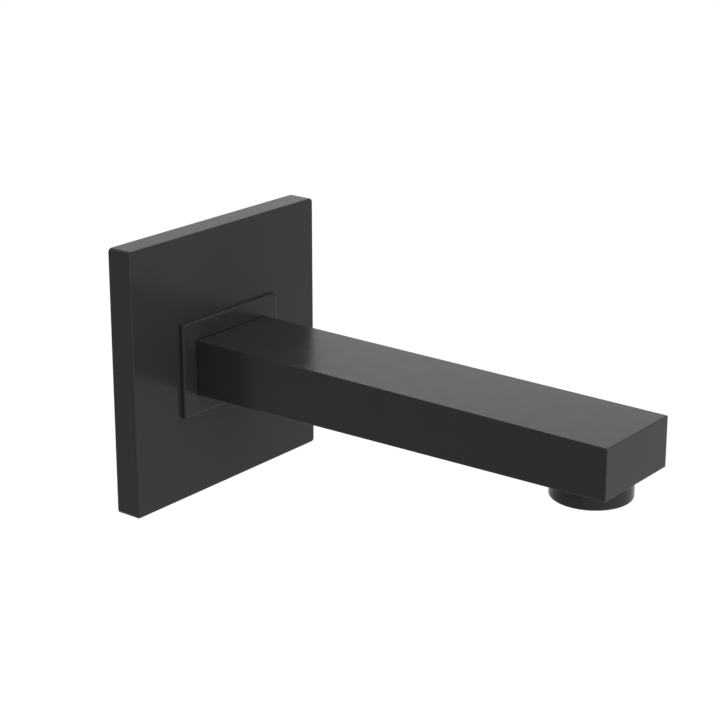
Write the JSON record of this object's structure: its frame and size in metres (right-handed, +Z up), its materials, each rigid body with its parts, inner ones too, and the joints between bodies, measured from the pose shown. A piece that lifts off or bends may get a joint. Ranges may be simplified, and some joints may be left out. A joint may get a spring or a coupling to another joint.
{
  "type": "wall-mounted bath spout",
  "caption": "Straight rectangular bath spout on a square wall plate, with a collar, a wall nipple and a round aerator under its end.",
  "frame": {"origin": "middle of the water inlet on the finished wall, on the axis of the wall nipple's thread", "axes": "+Y into the wall along the inlet thread, so the spout reaches out to -Y; +X to the right as one faces the wall; +Z up"},
  "size_m": [0.1, 0.2, 0.1],
  "materials": {
    "black_coat": "brass with a satin black coat",
    "bare_brass": "turned",
    "screw_steel": "plain stainless",
    "seal_rubber": "matte",
    "fibre": "red-brown fibre",
    "pale_plastic": "moulded",
    "grid_plastic": "moulded dark grey"
  },
  "bodies": {
    "root": {"wall_plate": "black_coat", "wall_gasket": "seal_rubber", "collar": "black_coat", "arm_seal": "seal_rubber", "spout_arm": "black_coat", "wall_nipple": "bare_brass", "inner_o_ring": "seal_rubber", "outer_o_ring": "seal_rubber", "nipple_washer": "fibre", "grub_screw": "screw_steel", "aerator_housing": "black_coat", "aerator_washer": "seal_rubber", "inlet_screen": "pale_plastic", "jet_plate": "pale_plastic", "aerator_cage": "pale_plastic", "upper_mesh": "screw_steel", "lower_mesh": "screw_steel", "outlet_grid": "grid_plastic"}
  },
  "joints": []
}
